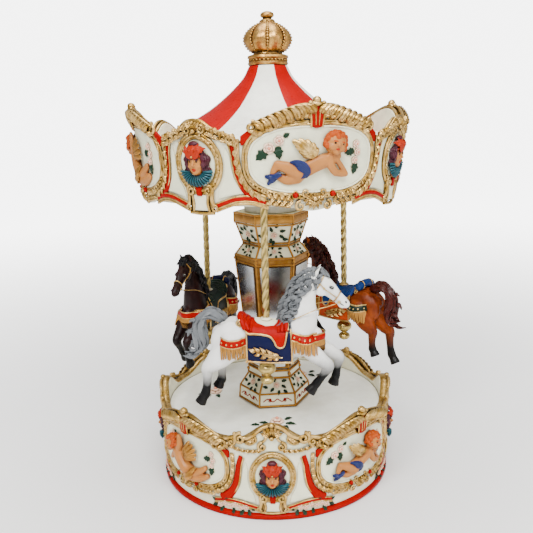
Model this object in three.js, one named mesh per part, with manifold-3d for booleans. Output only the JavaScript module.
// Carousel music box: a resin base holding the musical movement, a mirrored hexagonal
// column, and a canopy that turns on a central shaft and carries three horses on poles.
// Millimetres, +Z up. The origin is the centre of the base's underside, the front is -Y.
import * as THREE from "three";
import { mergeVertices } from "three/addons/utils/BufferGeometryUtils.js";
import Module from "manifold-3d";

const wasm = await Module();
wasm.setup();

// ---- driving dimensions ----------------------------------------------------------------

const GAP = 0.3; // left between neighbouring pieces
const PANELS = 4; // portrait panels, and as many long cherub panels between them

const BASE_RADIUS = 75;
const PLINTH_HEIGHT = 3;
const WALL_RADIUS = 74;
const WALL_THICKNESS = 4;
const DECK_TOP = 46;
const DECK_THICKNESS = 3;
const RIM_VALLEY = 49;
const RIM_PORTRAIT_CREST = 60.4;
const RIM_CHERUB_CREST = 57;
const BASE_PORTRAIT_ANGLE = -1.7; // degrees from the front towards +X

const PLATE_BOTTOM = 14;
const PLATE_THICKNESS = 2;

const COLUMN_FACE_ANGLE = 5; // direction that one face of the hexagon looks, degrees
const TUBE_RADIUS = 5;
const TUBE_TOP = 205;
const SHAFT_RADIUS = 1.8;
const SHAFT_TOP = 275.5;
const RUNNING_BORE = 2.3; // holes that the drive shaft turns in

const CANOPY_PORTRAIT_ANGLE = -28.2;
const CORNICE_BOTTOM = 188.5;
const CORNICE_DIP = 3.5; // how far the bottom edge drops under each panel
const CORNICE_VALLEY = 224;
const CORNICE_CHERUB_CREST = 243.5;
const CORNICE_PORTRAIT_CREST = 236.5;
const CORNICE_RADIUS = 81; // outer radius at CORNICE_BOTTOM
const CORNICE_FLARE = 0.13; // gain in radius for each millimetre of height
const CORNICE_THICKNESS = 3.5;
const FLOOR_BOTTOM = 195.3;
const FLOOR_THICKNESS = 2;
const FLOOR_RADIUS = 78.2;
const HUB_RADIUS = 18;

const HORSE_CIRCLE = 57; // radius of the circle that the poles stand on
const HORSE_ANGLES = [-4.2, 115.8, -124.2];
const HORSE_NAMES = ["white", "brown", "black"];
const HORSE_PHASES = [30, 150, 270]; // crank angle at rest, degrees above the horizontal
const HORSE_TURNS = [0, 20, 12]; // how far each horse is turned on its pole, towards the column
const CRANK_THROW = 2.6;
const SADDLE_MEAN_HEIGHT = 115.8;
const POLE_RADIUS = 2.1;
const POLE_FOOT = -26.5; // pole end below the saddle, where the ball finial starts

const TOOTH_MODULE = 1;
const CROWN_TEETH = 30;
const PINION_TEETH = 10;
const CRANK_AXIS_HEIGHT = 214;
const MOVEMENT_AXIS_HEIGHT = 33;
const MOVEMENT_ANGLE = 90; // the pinned cylinder lies on this side of the central shaft
const BEDPLATE_BOTTOM = PLATE_BOTTOM + PLATE_THICKNESS + GAP;
const BEDPLATE_THICKNESS = 2;

// ---- materials -------------------------------------------------------------------------

function material(color, roughness, metalness) {
  return new THREE.MeshStandardMaterial({ color, roughness, metalness });
}

const IVORY = material("#ece8d4", 0.4, 0);
const RED = material("#c01c1c", 0.35, 0);
const ANTIQUE_GOLD = material("#b8894a", 0.4, 0.8);
const BRASS = material("#c9a653", 0.3, 1);
const STEEL = material("#b7babd", 0.3, 1);
const MIRROR = material("#d7dadc", 0.05, 1);
const GREY_RESIN = material("#b5b2a8", 0.5, 0);
const HORSE_COLOURS = {
  white: material("#f2f1ee", 0.4, 0),
  brown: material("#8a4520", 0.4, 0),
  black: material("#2b1a18", 0.4, 0),
};

// ---- solids: welding, joining and cutting ----------------------------------------------

function toSolid(geometry) {
  const bare = geometry.clone();
  bare.deleteAttribute("normal");
  bare.deleteAttribute("uv");
  const welded = mergeVertices(bare, 1e-4);
  const position = welded.attributes.position;
  const corners = [0, 1, 2].map(() => new THREE.Vector3());
  const triangles = [];
  let volume = 0;
  for (let i = 0; i < welded.index.count; i += 3) {
    const ids = [0, 1, 2].map((k) => welded.index.getX(i + k));
    if (new Set(ids).size < 3) continue;
    triangles.push(ids);
    corners.forEach((corner, k) => corner.fromBufferAttribute(position, ids[k]));
    volume += corners[0].dot(corners[1].clone().cross(corners[2]));
  }
  const outward = volume > 0 ? triangles : triangles.map(([a, b, c]) => [a, c, b]);
  return new wasm.Manifold(
    new wasm.Mesh({
      numProp: 3,
      vertProperties: Float32Array.from(position.array),
      triVerts: Uint32Array.from(outward.flat()),
    }),
  );
}

function toGeometry(solid) {
  const mesh = solid.getMesh();
  const geometry = new THREE.BufferGeometry();
  geometry.setAttribute("position", new THREE.Float32BufferAttribute(mesh.vertProperties, 3));
  geometry.setIndex(Array.from(mesh.triVerts));
  geometry.computeVertexNormals();
  return geometry;
}

function join(geometries) {
  return geometries.map(toSolid).reduce((whole, solid) => whole.add(solid));
}

function cut(solid, geometries) {
  return geometries.map(toSolid).reduce((whole, tool) => whole.subtract(tool), solid);
}

const model = new THREE.Group();

// Adds one named piece. solid is a geometry or a solid already joined or cut.
function piece(name, solid, look, parent = model) {
  const closed = solid.isBufferGeometry ? toSolid(solid) : solid;
  const mesh = new THREE.Mesh(toGeometry(closed), look);
  mesh.name = name;
  parent.add(mesh);
  return mesh;
}

// ---- shapes ----------------------------------------------------------------------------

// Revolves [radius, height] points about the Z axis.
function lathe(points, segments, closed = false) {
  const outline = points.map(([radius, height]) => new THREE.Vector2(radius, height));
  if (closed) outline.push(outline[0].clone());
  return new THREE.LatheGeometry(outline, segments).rotateX(Math.PI / 2);
}

// A tube about the Z axis: low and high are its end heights.
function tube(outer, inner, low, high, segments) {
  const section = [[outer, low], [outer, high], [inner, high], [inner, low]];
  return lathe(section, segments, true);
}

function rod(radius, low, high, segments = 16) {
  return lathe([[0, low], [radius, low], [radius, high], [0, high]], segments);
}

function box(size, centre) {
  return new THREE.BoxGeometry(...size).translate(...centre);
}

// Extrudes a closed outline of [x, y] points along +Z from low to high.
function prism(points, low, high, holes = []) {
  const shape = new THREE.Shape(points.map(([x, y]) => new THREE.Vector2(x, y)));
  for (const [x, y, radius] of holes) {
    shape.holes.push(new THREE.Path().absarc(x, y, radius, 0, 2 * Math.PI, true));
  }
  const settings = { depth: high - low, bevelEnabled: false, curveSegments: 8 };
  return new THREE.ExtrudeGeometry(shape, settings).translate(0, 0, low);
}

// Moves each vertex of a geometry to where rule([x, y, z]) says.
function reshape(geometry, rule) {
  const position = geometry.attributes.position;
  for (let i = 0; i < position.count; i++) {
    position.setXYZ(i, ...rule([position.getX(i), position.getY(i), position.getZ(i)]));
  }
  return geometry;
}

// Direction on the carousel, in degrees from the front (-Y) towards +X.
function bearing(x, y) {
  return THREE.MathUtils.radToDeg(Math.atan2(x, -y));
}

// Distance in degrees from an angle to the nearest of PANELS evenly spread ones.
function offPanel(angle, firstPanel) {
  const pitch = 360 / PANELS;
  return Math.abs(THREE.MathUtils.euclideanModulo(angle - firstPanel + pitch / 2, pitch) - pitch / 2);
}

// 1 at zero distance, falling smoothly to 0 at the given width.
function bump(distance, width) {
  return distance < width ? 0.5 + 0.5 * Math.cos((Math.PI * distance) / width) : 0;
}

// Turns a piece made along +X, above the X axis, to a direction on the carousel.
function towards(geometry, angle) {
  return geometry.rotateZ(THREE.MathUtils.degToRad(angle - 90));
}

// ---- base ------------------------------------------------------------------------------

function rimHeight(angle) {
  const portrait = bump(offPanel(angle, BASE_PORTRAIT_ANGLE), 17);
  const cherub = bump(offPanel(angle, BASE_PORTRAIT_ANGLE + 45), 20);
  const overPortrait = (RIM_PORTRAIT_CREST - RIM_VALLEY) * portrait;
  const overCherub = (RIM_CHERUB_CREST - RIM_VALLEY) * cherub;
  return RIM_VALLEY + Math.max(overPortrait, overCherub);
}

const BASE_INNER = BASE_RADIUS - WALL_THICKNESS;
const RIM_INNER = WALL_RADIUS + 2 - WALL_THICKNESS;
const DECK_BOTTOM = DECK_TOP - DECK_THICKNESS;

// The wall of the base, with a ledge inside that the deck rests on.
function baseShell() {
  const ledge = DECK_BOTTOM - GAP;
  const section = [
    [BASE_INNER, 0], [BASE_RADIUS, 0], [BASE_RADIUS, PLINTH_HEIGHT],
    [WALL_RADIUS - 0.5, PLINTH_HEIGHT + 1], [WALL_RADIUS + 1, 12], [WALL_RADIUS + 0.5, 30],
    [WALL_RADIUS + 1, 42], [WALL_RADIUS + 2, RIM_VALLEY], [RIM_INNER, RIM_VALLEY],
    [RIM_INNER, ledge], [BASE_INNER - 2, ledge], [BASE_INNER - 2, ledge - 1.5], [BASE_INNER, ledge - 5],
  ];
  return reshape(lathe(section, 64, true), ([x, y, z]) => {
    const share = (rimHeight(bearing(x, y)) - DECK_TOP) / (RIM_VALLEY - DECK_TOP);
    return [x, y, z > DECK_TOP ? DECK_TOP + (z - DECK_TOP) * share : z];
  });
}

// The deck, with the posts that the bottom plate is screwed to.
function baseDeck() {
  const disc = tube(RIM_INNER - GAP, TUBE_RADIUS + GAP, DECK_BOTTOM, DECK_TOP, 48);
  const posts = SCREW_ANGLES.map((angle) =>
    towards(rod(4, PLATE_BOTTOM + PLATE_THICKNESS + GAP, DECK_TOP - 1).translate(SCREW_CIRCLE, 0, 0), angle),
  );
  const pilots = SCREW_ANGLES.map((angle) =>
    towards(rod(1.6, 0, PLATE_BOTTOM + 12).translate(SCREW_CIRCLE, 0, 0), angle),
  );
  return cut(join([disc, ...posts]), pilots);
}

const SCREW_CIRCLE = 62;
const SCREW_ANGLES = [0, 120, 240];

// A cheese-head screw with a slot, standing on z = 0 with its head up.
function screw(headRadius, headHeight, shankRadius, length) {
  const outline = [
    [0, -length], [shankRadius, -length], [shankRadius, 0],
    [headRadius, 0], [headRadius, headHeight], [0, headHeight],
  ];
  const slot = box([headRadius * 3, headRadius * 0.3, headHeight], [0, 0, headHeight]);
  return toGeometry(cut(toSolid(lathe(outline, 10)), [slot]));
}

piece("base_shell", baseShell(), IVORY);
piece("base_deck", baseDeck(), IVORY);

const plateHoles = SCREW_ANGLES.map((angle) =>
  towards(rod(1.6, 0, 40).translate(SCREW_CIRCLE, 0, 0), angle),
);
const plate = tube(BASE_INNER - 2 * GAP, 2.6, PLATE_BOTTOM, PLATE_BOTTOM + PLATE_THICKNESS, 30);
piece("bottom_plate", cut(toSolid(plate), plateHoles), GREY_RESIN);

SCREW_ANGLES.forEach((angle, i) => {
  const fastener = screw(3, 1.6, 1.3, 10).rotateX(Math.PI).translate(SCREW_CIRCLE, 0, PLATE_BOTTOM - GAP);
  piece(`plate_screw_${i + 1}`, towards(fastener, angle), STEEL);
});

// ---- hexagonal column ------------------------------------------------------------------

// Draws a round lathe out to a hexagon whose corners keep the stated radius. Points on the
// bore are left round.
function hexagon(geometry, boreRadius) {
  return reshape(geometry, ([x, y, z]) => {
    const radius = Math.hypot(x, y);
    if (radius < boreRadius + 0.01) return [x, y, z];
    const turn = THREE.MathUtils.euclideanModulo(bearing(x, y) - COLUMN_FACE_ANGLE + 30, 60) - 30;
    const share = Math.cos(Math.PI / 6) / Math.cos(THREE.MathUtils.degToRad(turn));
    return [x * share, y * share, z];
  });
}

// levels are [corner radius, height] from the bottom to the top.
function columnPiece(levels) {
  const bore = TUBE_RADIUS + GAP;
  const [low, high] = [levels[0][1], levels.at(-1)[1]];
  const section = lathe([[bore, low], ...levels, [bore, high]], 24, true);
  return hexagon(section.rotateZ(THREE.MathUtils.degToRad(COLUMN_FACE_ANGLE)), bore);
}

const MIRROR_LOW = 72;
const MIRROR_HIGH = 141;
const SHAFT_FOOT = [16.2, 70.3];
const SHAFT_HEAD = [24.4, 143];

piece("column_foot", columnPiece([
  [24, DECK_TOP + GAP], [23.4, 55.2], [17.3, 64], [17.6, 65], [17.4, 69], [16.2, 70],
]), IVORY);
piece("column_shaft", columnPiece([SHAFT_FOOT, SHAFT_HEAD, [24.6, 146.5]]), ANTIQUE_GOLD);
piece("column_capital", columnPiece([
  [24.4, 146.8], [18.8, 154], [19.4, 156], [23.6, 168], [24.6, 169], [24.6, 175.5],
]), IVORY);

function cornerRadiusAt(height) {
  const share = (height - SHAFT_FOOT[1]) / (SHAFT_HEAD[1] - SHAFT_FOOT[1]);
  return THREE.MathUtils.lerp(SHAFT_FOOT[0], SHAFT_HEAD[0], share);
}

function mirrorPane() {
  const margin = 2.2;
  const glass = 0.8;
  const halfWidth = (height) => cornerRadiusAt(height) / 2 - margin;
  const face = (height) => cornerRadiusAt(height) * Math.cos(Math.PI / 6) + GAP;
  const half = [halfWidth(MIRROR_LOW), halfWidth(MIRROR_HIGH)];
  const outline = [[-half[0], MIRROR_LOW], [half[0], MIRROR_LOW], [half[1], MIRROR_HIGH], [-half[1], MIRROR_HIGH]];
  const upright = prism(outline, 0, glass).rotateX(Math.PI / 2).rotateZ(Math.PI / 2);
  return reshape(upright, ([x, y, z]) => [x + face(z), y, z]);
}

for (let i = 0; i < 6; i++) {
  piece(`column_mirror_${i + 1}`, towards(mirrorPane(), COLUMN_FACE_ANGLE + 60 * i), MIRROR);
}

const flange = [
  [RUNNING_BORE, DECK_BOTTOM - 2.3], [9, DECK_BOTTOM - 2.3],
  [9, DECK_BOTTOM - GAP], [TUBE_RADIUS, DECK_BOTTOM - GAP],
  [TUBE_RADIUS, TUBE_TOP], [RUNNING_BORE, TUBE_TOP],
];
piece("column_tube", lathe(flange, 20, true), BRASS);

// ---- crown gears and pinions -----------------------------------------------------------

const PINION_RADIUS = (PINION_TEETH * TOOTH_MODULE) / 2;
const CROWN_RADIUS = (CROWN_TEETH * TOOTH_MODULE) / 2;
const ADDENDUM = 0.8 * TOOTH_MODULE;
const DEDENDUM = 1.1 * TOOTH_MODULE;
const TOOTH_FACE = 2; // width of the meshing teeth, along the radius
const TOOTH_ROOT_HALF = 0.62 * TOOTH_MODULE;
const TOOTH_TIP_HALF = 0.25 * TOOTH_MODULE;

// A ring with teeth standing on its upper face. A tooth gap lies at gapAngle.
function crownGear(body, pitchHeight, gapAngle) {
  const root = pitchHeight - DEDENDUM;
  const sunk = 0.4;
  const profile = [
    [-TOOTH_ROOT_HALF, root - sunk], [TOOTH_ROOT_HALF, root - sunk],
    [TOOTH_ROOT_HALF, root], [TOOTH_TIP_HALF, pitchHeight + ADDENDUM],
    [-TOOTH_TIP_HALF, pitchHeight + ADDENDUM], [-TOOTH_ROOT_HALF, root],
  ];
  const teeth = Array.from({ length: CROWN_TEETH }, (_, i) => {
    const tooth = prism(profile, -TOOTH_FACE / 2, TOOTH_FACE / 2).rotateX(Math.PI / 2).rotateZ(Math.PI / 2);
    return towards(tooth.translate(CROWN_RADIUS, 0, 0), gapAngle + ((i + 0.5) * 360) / CROWN_TEETH);
  });
  return join([body, ...teeth]);
}

// A pinion on a radial axis along +X at the given height, with one tooth pointing down.
function pinion(axisHeight, bore) {
  const rootRadius = PINION_RADIUS - DEDENDUM;
  const tipRadius = PINION_RADIUS + ADDENDUM;
  const outline = [];
  for (let i = 0; i < PINION_TEETH; i++) {
    const middle = -Math.PI / 2 + (2 * Math.PI * i) / PINION_TEETH;
    const corners = [
      [rootRadius, -TOOTH_ROOT_HALF], [tipRadius, -TOOTH_TIP_HALF],
      [tipRadius, TOOTH_TIP_HALF], [rootRadius, TOOTH_ROOT_HALF],
    ];
    for (const [radius, side] of corners) {
      const angle = middle + side / radius;
      outline.push([radius * Math.cos(angle), radius * Math.sin(angle)]);
    }
  }
  const wheel = prism(outline, -TOOTH_FACE / 2, TOOTH_FACE / 2, [[0, 0, bore]]);
  return wheel.rotateX(Math.PI / 2).rotateZ(Math.PI / 2).translate(CROWN_RADIUS, 0, axisHeight);
}

// A rod along +X between two radii at the given height.
function radialRod(radius, from, to, height, segments = 12) {
  return rod(radius, from, to, segments).rotateY(Math.PI / 2).translate(0, 0, height);
}

const crankPitchHeight = CRANK_AXIS_HEIGHT - PINION_RADIUS;
const fixedRing = tube(17, RUNNING_BORE, TUBE_TOP + GAP, crankPitchHeight - DEDENDUM, 30);
piece("crown_gear", crownGear(fixedRing, crankPitchHeight, HORSE_ANGLES[0]), BRASS);

// ---- musical movement ------------------------------------------------------------------

const DRUM_START = 19.3;
const DRUM_END = 41;
const BEARING_INNER = 17.2;
const BEARING_OUTER = 42;
const BEARING_THICKNESS = 1.6;
const ARBOR_RADIUS = 1.1;
const COMB_TIP = -6.9; // y of the comb's points, just clear of the drum's pins
const COMB_BACK = -24;
const COMB_THICKNESS = 1.2;
const COMB_TEETH = 18;
const MOVEMENT_SCREWS = [[-24, -20], [46, 20]];
const COMB_SCREWS = [[24, -20], [36, -20]];
const BEDPLATE_TOP = BEDPLATE_BOTTOM + BEDPLATE_THICKNESS;

// The movement is drawn with its cylinder along +X, and turned to its place as a group.
const movement = new THREE.Group();
movement.rotation.z = THREE.MathUtils.degToRad(MOVEMENT_ANGLE - 90);
model.add(movement);

function bedplate() {
  const plateOutline = [[-28, -26], [50, -26], [50, 26], [-28, 26]];
  const holes = [[0, 0, 2.6], ...MOVEMENT_SCREWS.map(([x, y]) => [x, y, 1.4])];
  const bearingHeight = MOVEMENT_AXIS_HEIGHT + 4 - BEDPLATE_BOTTOM - 1;
  const uprights = [BEARING_INNER, BEARING_OUTER].map((x) =>
    box([BEARING_THICKNESS, 9, bearingHeight], [x + BEARING_THICKNESS / 2, 0, BEDPLATE_BOTTOM + 1 + bearingHeight / 2]),
  );
  const combSeat = MOVEMENT_AXIS_HEIGHT - COMB_THICKNESS / 2 - GAP;
  const riserHeight = combSeat - BEDPLATE_BOTTOM - 1;
  const riser = box([24, 7, riserHeight], [30, COMB_BACK + 3.5, BEDPLATE_BOTTOM + 1 + riserHeight / 2]);
  const body = join([prism(plateOutline, BEDPLATE_BOTTOM, BEDPLATE_TOP, holes), ...uprights, riser]);
  const bores = [
    radialRod(ARBOR_RADIUS + GAP, 10, 50, MOVEMENT_AXIS_HEIGHT),
    ...COMB_SCREWS.map(([x, y]) => rod(1.3, combSeat - 6, combSeat + 1).translate(x, y, 0)),
  ];
  return cut(body, bores);
}

function comb() {
  const pitch = 1.1;
  const slot = 0.4;
  const slotEnd = -15;
  const first = 30 - (COMB_TEETH * pitch) / 2;
  const outline = [[first, COMB_BACK], [first + COMB_TEETH * pitch, COMB_BACK]];
  for (let i = COMB_TEETH - 1; i >= 0; i--) {
    const left = first + i * pitch + slot / 2;
    const right = left + pitch - slot;
    outline.push([right, slotEnd], [right, COMB_TIP], [left, COMB_TIP], [left, slotEnd]);
  }
  const holes = COMB_SCREWS.map(([x, y]) => [x, y, 1.3]);
  const low = MOVEMENT_AXIS_HEIGHT - COMB_THICKNESS / 2;
  return prism(outline, low, low + COMB_THICKNESS, holes);
}

function musicCylinder() {
  const radius = 6;
  const drum = radialRod(radius, DRUM_START, DRUM_END, MOVEMENT_AXIS_HEIGHT, 24);
  const arbor = radialRod(ARBOR_RADIUS, 13.4, 45, MOVEMENT_AXIS_HEIGHT);
  const pins = Array.from({ length: COMB_TEETH }, (_, i) => {
    const pin = new THREE.ConeGeometry(0.3, 1, 4).rotateX(Math.PI / 2).translate(0, 0, radius + 0.1);
    const along = 30 + (i - (COMB_TEETH - 1) / 2) * 1.1;
    return pin.rotateX(i * 2.4).translate(along, 0, MOVEMENT_AXIS_HEIGHT);
  });
  return join([drum, arbor, ...pins]);
}

const BARREL_RADIUS = 16.4;
const BARREL_BOTTOM = BEDPLATE_TOP + 0.7;
const movementPitchHeight = MOVEMENT_AXIS_HEIGHT - PINION_RADIUS;
const barrelTop = movementPitchHeight - DEDENDUM;
const GOVERNOR_PLACE = [34, 15];

piece("movement_bedplate", bedplate(), BRASS, movement);
piece("comb", comb(), STEEL, movement);
COMB_SCREWS.forEach(([x, y], i) => {
  const seat = MOVEMENT_AXIS_HEIGHT + COMB_THICKNESS / 2 + GAP;
  piece(`comb_screw_${i + 1}`, screw(2.1, 1.2, 1, 5).translate(x, y, seat), STEEL, movement);
});
MOVEMENT_SCREWS.forEach(([x, y], i) => {
  const seat = BEDPLATE_TOP + GAP;
  piece(`movement_screw_${i + 1}`, screw(2.6, 1.4, 1.1, 2.1).translate(x, y, seat), STEEL, movement);
});
piece("music_cylinder", musicCylinder(), BRASS, movement);
piece("cylinder_pinion", pinion(MOVEMENT_AXIS_HEIGHT, ARBOR_RADIUS + GAP), STEEL, movement);

function governorFrame() {
  const low = BEDPLATE_TOP + GAP;
  const high = DECK_BOTTOM - 2;
  const side = 5;
  const parts = [
    box([9, 11, 1.6], [0, 1, low + 0.8]),
    box([9, 2, high - low], [0, side + 0.5, (high + low) / 2]),
    box([9, 11, 1.6], [0, 1, high - 0.8]),
  ];
  return toGeometry(join(parts)).translate(...GOVERNOR_PLACE, 0);
}

function governorFan() {
  const low = BEDPLATE_TOP + GAP + 1.9;
  const high = DECK_BOTTOM - 3.9;
  const parts = [
    rod(0.6, low, high, 10),
    lathe([[0, low + 1], [1.5, low + 1], [1.5, low + 7], [0, low + 7]], 12),
    box([6.4, 0.8, 6], [0, 0, high - 4.5]),
  ];
  return toGeometry(join(parts)).translate(...GOVERNOR_PLACE, 0);
}

piece("governor_frame", governorFrame(), BRASS, movement);
piece("governor_fan", governorFan(), STEEL, movement);

// ---- winding key under the base --------------------------------------------------------

const wingOutline = new THREE.Shape()
  .absellipse(0, 0, 14, 5, 0, 2 * Math.PI)
  .getPoints(12)
  .slice(0, -1)
  .map(({ x, y }) => [x, y]);
const wings = prism(wingOutline, -1.2, 1.2, [[8, 0, 2.6], [-8, 0, 2.6]]).rotateX(Math.PI / 2).translate(0, 0, 6.5);
const keyStem = lathe([[0, 5], [2.8, 5], [2.8, PLATE_BOTTOM - GAP], [0, PLATE_BOTTOM - GAP]], 16);
const keySocket = rod(1.9, PLATE_BOTTOM - 4, PLATE_BOTTOM + 1);
piece("winding_key", cut(join([wings, keyStem]), [keySocket]), STEEL);
piece("winding_arbor", rod(1.6, PLATE_BOTTOM - 4 + GAP, BARREL_BOTTOM - GAP), STEEL);

// ---- turning drive and canopy ----------------------------------------------------------

const barrelBody = rod(BARREL_RADIUS, BARREL_BOTTOM, barrelTop, 30);
piece("spring_barrel", crownGear(barrelBody, movementPitchHeight, MOVEMENT_ANGLE), BRASS);
piece("drive_shaft", rod(SHAFT_RADIUS, barrelTop + GAP, SHAFT_TOP, 14), STEEL);

const canopy = new THREE.Group();
model.add(canopy);

function corniceTop(angle) {
  const cherub = offPanel(angle, CANOPY_PORTRAIT_ANGLE + 45);
  const portrait = offPanel(angle, CANOPY_PORTRAIT_ANGLE);
  const arch = cherub < 25 ? Math.cos((Math.PI / 2) * (cherub / 25)) : 0;
  const overCherub = (CORNICE_CHERUB_CREST - CORNICE_VALLEY) * arch;
  const overPortrait = (CORNICE_PORTRAIT_CREST - CORNICE_VALLEY) * bump(portrait, 15);
  return CORNICE_VALLEY + Math.max(overCherub, overPortrait);
}

function corniceBottom(angle) {
  const cherub = bump(offPanel(angle, CANOPY_PORTRAIT_ANGLE + 45), 14);
  const portrait = bump(offPanel(angle, CANOPY_PORTRAIT_ANGLE), 7);
  return CORNICE_BOTTOM - CORNICE_DIP * Math.max(cherub, portrait);
}

function cornice() {
  const middle = 206;
  const radius = (height) => CORNICE_RADIUS + (height - CORNICE_BOTTOM) * CORNICE_FLARE;
  const heights = [CORNICE_BOTTOM, middle, CORNICE_VALLEY];
  const outer = heights.map((height) => [radius(height), height]);
  const inner = heights.map((height) => [radius(height) - CORNICE_THICKNESS, height]).reverse();
  return reshape(lathe([...outer, ...inner], 64, true), ([x, y, z]) => {
    if (Math.abs(z - middle) < 1) return [x, y, z];
    const height = z > middle ? corniceTop(bearing(x, y)) : corniceBottom(bearing(x, y));
    const share = 1 + ((height - z) * CORNICE_FLARE) / Math.hypot(x, y);
    return [x * share, y * share, height];
  });
}

const ROOF_OUTLINE = [
  [81.5, 222], [55, 234], [40, 243], [28, 251.3], [17.3, 261.7], [12.5, 270.5],
];
const ROOF_THICKNESS = 2;

function roof() {
  const inner = ROOF_OUTLINE.map(([radius, height]) => [radius - 1, height - ROOF_THICKNESS]).reverse();
  const bore = RUNNING_BORE;
  const section = [...ROOF_OUTLINE, [bore, 270.5], [bore, 268.5], ...inner];
  return lathe(section, 32, true);
}

const poleHoles = HORSE_ANGLES.map((angle) =>
  towards(rod(3.7, 190, 200).translate(HORSE_CIRCLE, 0, 0), angle),
);
const floorDisc = tube(FLOOR_RADIUS, TUBE_RADIUS + 0.4, FLOOR_BOTTOM, FLOOR_BOTTOM + FLOOR_THICKNESS, 30);

piece("cornice_ring", cornice(), ANTIQUE_GOLD, canopy);
piece("roof_shell", roof(), RED, canopy);
piece("canopy_floor", cut(toSolid(floorDisc), poleHoles), IVORY, canopy);
piece("canopy_hub", tube(HUB_RADIUS, TUBE_RADIUS + 0.4, 176, FLOOR_BOTTOM - GAP, 24), GREY_RESIN, canopy);

const crownOutline = [
  [0, 276.5], [2.1, 276.5], [2.1, 270.8], [12.2, 270.8], [12.4, 276.5], [9, 278.4], [13, 281.5],
  [15.3, 286], [14.8, 290], [11, 294.6], [3.6, 299], [4.5, 302.4], [3.2, 304.8], [0, 305.5],
];
piece("crown_finial", lathe(crownOutline, 20), ANTIQUE_GOLD, canopy);

// ---- cranks, poles and horses ----------------------------------------------------------

const DISC_START = 49;
const PIN_END = 54.3;
const YOKE_START = PIN_END + GAP;
const BRACKET_START = 22;
const BRACKET_END = 47;

function crankBracket() {
  const low = FLOOR_BOTTOM + FLOOR_THICKNESS + GAP;
  const wall = 2;
  const width = 12;
  const top = CRANK_AXIS_HEIGHT + 4;
  const outline = [
    [BRACKET_START, low], [BRACKET_END, low], [BRACKET_END, top], [BRACKET_END - wall, top],
    [BRACKET_END - wall, low + wall], [BRACKET_START + wall, low + wall],
    [BRACKET_START + wall, top], [BRACKET_START, top],
  ];
  const channel = prism(outline, -width / 2, width / 2).rotateX(Math.PI / 2);
  return toGeometry(cut(toSolid(channel), [radialRod(1.6, 10, 60, CRANK_AXIS_HEIGHT)]));
}

function crank(phase) {
  const lift = CRANK_THROW * Math.sin(THREE.MathUtils.degToRad(phase));
  const reach = CRANK_THROW * Math.cos(THREE.MathUtils.degToRad(phase));
  const pin = radialRod(1, DISC_START + 1, PIN_END, CRANK_AXIS_HEIGHT).translate(0, reach, lift);
  return toGeometry(join([
    radialRod(1.3, 12.5, DISC_START + 1, CRANK_AXIS_HEIGHT),
    radialRod(6, DISC_START, DISC_START + 2, CRANK_AXIS_HEIGHT, 20),
    pin,
  ]));
}

// The slotted end of a pole. The crank's pin works in the slot.
function yoke() {
  const plateThickness = 2;
  const head = box([plateThickness, 16, 7], [YOKE_START + plateThickness / 2, 0, 0]);
  const socketBlock = box([5.2, 6.6, 6.5], [HORSE_CIRCLE + 0.5, 0, -6.5]);
  const slot = box([plateThickness * 3, 12, 2.6], [YOKE_START, 0, 0]);
  const socket = rod(POLE_RADIUS + GAP, -12, -4.3).translate(HORSE_CIRCLE, 0, 0);
  return toGeometry(cut(join([head, socketBlock]), [slot, socket]));
}

// A flanged bush that a pole slides in.
function poleBush() {
  const inner = POLE_RADIUS + GAP + 0.1;
  const flangeTop = FLOOR_BOTTOM - GAP;
  const section = [
    [inner, flangeTop - 1.2], [5, flangeTop - 1.2], [5, flangeTop],
    [3.4, flangeTop], [3.4, 199], [inner, 199],
  ];
  return lathe(section, 12, true).translate(HORSE_CIRCLE, 0, 0);
}

const ballFinialOutline = [
  [0, 0], [1.8, -0.2], [1.8, -1.6], [4.5, -5], [2.8, -8.6], [1.5, -9.4], [3.2, -11.6], [0, -13.8],
];

// A tapered limb between two points, [x, y, z, radius] each, with rounded ends.
function limb(from, to, sides = 5) {
  const start = new THREE.Vector3(...from);
  const end = new THREE.Vector3(...to);
  const [r0, r1] = [from[3], to[3]];
  const length = start.distanceTo(end);
  const outline = [[0, -r0], [r0 * 0.95, -r0 * 0.3], [r1 * 0.95, length + r1 * 0.3], [0, length + r1]];
  const turn = new THREE.Quaternion().setFromUnitVectors(
    new THREE.Vector3(0, 0, 1),
    end.clone().sub(start).normalize(),
  );
  return lathe(outline, sides).applyQuaternion(turn).translate(start.x, start.y, start.z);
}

function chain(points) {
  return points.slice(1).map((point, i) => limb(points[i], point));
}

function ellipsoid(centre, radii) {
  return new THREE.SphereGeometry(1, 8, 5).rotateX(Math.PI / 2).scale(...radii).translate(...centre);
}

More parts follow.
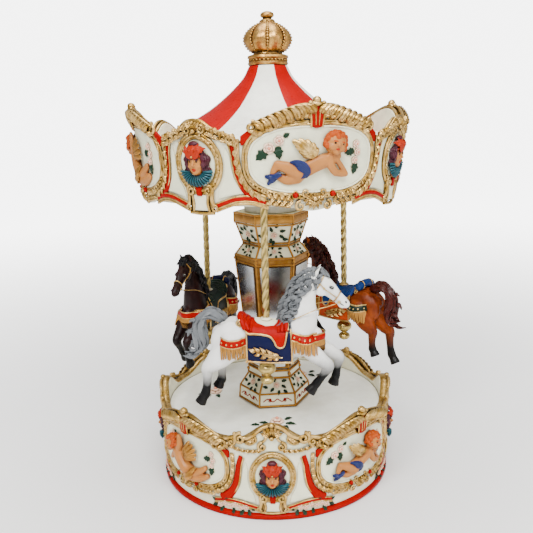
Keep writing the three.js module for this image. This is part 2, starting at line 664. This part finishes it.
// A galloping horse about its pole: +X is forward, z = 0 is the dip of the saddle.
function horse() {
  const blanketOutline = [[-11, -7], [-11, -22.6], [16, -23], [18, -8], [12, -1], [0, -1.8], [-15, 2]];
  const parts = [
    ellipsoid([2, 0, -12], [25, 9, 10.8]),
    ellipsoid([-19, 0, -9], [13, 9, 11.4]),
    ellipsoid([21, 0, -10.5], [10.5, 8.6, 12]),
    prism(blanketOutline, -9.8, 9.8).rotateX(Math.PI / 2),
    ...chain([[20, 0, -4, 10], [21, 0, 12, 7], [27, 0, 23, 5]]),
    ...chain([[30, 0, 22.5, 6], [44.2, 0, 8.8, 3.8]]),
    ...chain([[28, 0, 26, 4], [14, 0, 12, 4.6], [13, 0, 2, 3]]),
    ...chain([[-29, 0, -3, 4.4], [-40, 0, -1, 4.2], [-44, 0, -18, 3]]),
    ...chain([[26, -5, -15, 6], [37, -5, -26, 3.4], [26.5, -5, -41, 3]]),
    ...chain([[27, 5, -14, 6], [43, 5, -24, 3.4], [40.5, 5, -41, 3]]),
    ...chain([[-22, -4.6, -14, 7.5], [-35.5, -4.6, -27, 3.6], [-39, -4, -49, 3.2]]),
    ...chain([[-19, 4.6, -15, 7.5], [-27.5, 4.6, -27, 3.6], [-31, 4.6, -43, 3.2]]),
  ];
  return toGeometry(cut(join(parts), [rod(POLE_RADIUS + 0.4, -40, 20)]));
}

HORSE_NAMES.forEach((name, i) => {
  const angle = HORSE_ANGLES[i];
  const lift = CRANK_THROW * Math.sin(THREE.MathUtils.degToRad(HORSE_PHASES[i]));
  const saddle = SADDLE_MEAN_HEIGHT + lift;
  const pinHeight = CRANK_AXIS_HEIGHT + lift;
  const pole = rod(POLE_RADIUS, saddle + POLE_FOOT, pinHeight - 4.6, 14).translate(HORSE_CIRCLE, 0, 0);
  const finial = lathe(ballFinialOutline, 12).translate(HORSE_CIRCLE, 0, saddle + POLE_FOOT - GAP);
  const turn = Math.PI / 2 + THREE.MathUtils.degToRad(HORSE_TURNS[i]);
  const animal = horse().rotateZ(turn).translate(HORSE_CIRCLE, 0, saddle);

  piece(`pole_bush_${name}`, towards(poleBush(), angle), BRASS, canopy);
  piece(`crank_bracket_${name}`, towards(crankBracket(), angle), STEEL, canopy);
  piece(`crank_${name}`, towards(crank(HORSE_PHASES[i]), angle), STEEL);
  piece(`crank_pinion_${name}`, towards(pinion(CRANK_AXIS_HEIGHT, 1.6), angle), BRASS);
  piece(`yoke_${name}`, towards(yoke().translate(0, 0, pinHeight), angle), STEEL);
  piece(`pole_${name}`, towards(pole, angle), BRASS);
  piece(`pole_finial_${name}`, towards(finial, angle), BRASS);
  piece(`horse_${name}`, towards(animal, angle), HORSE_COLOURS[name]);
});

export default model;
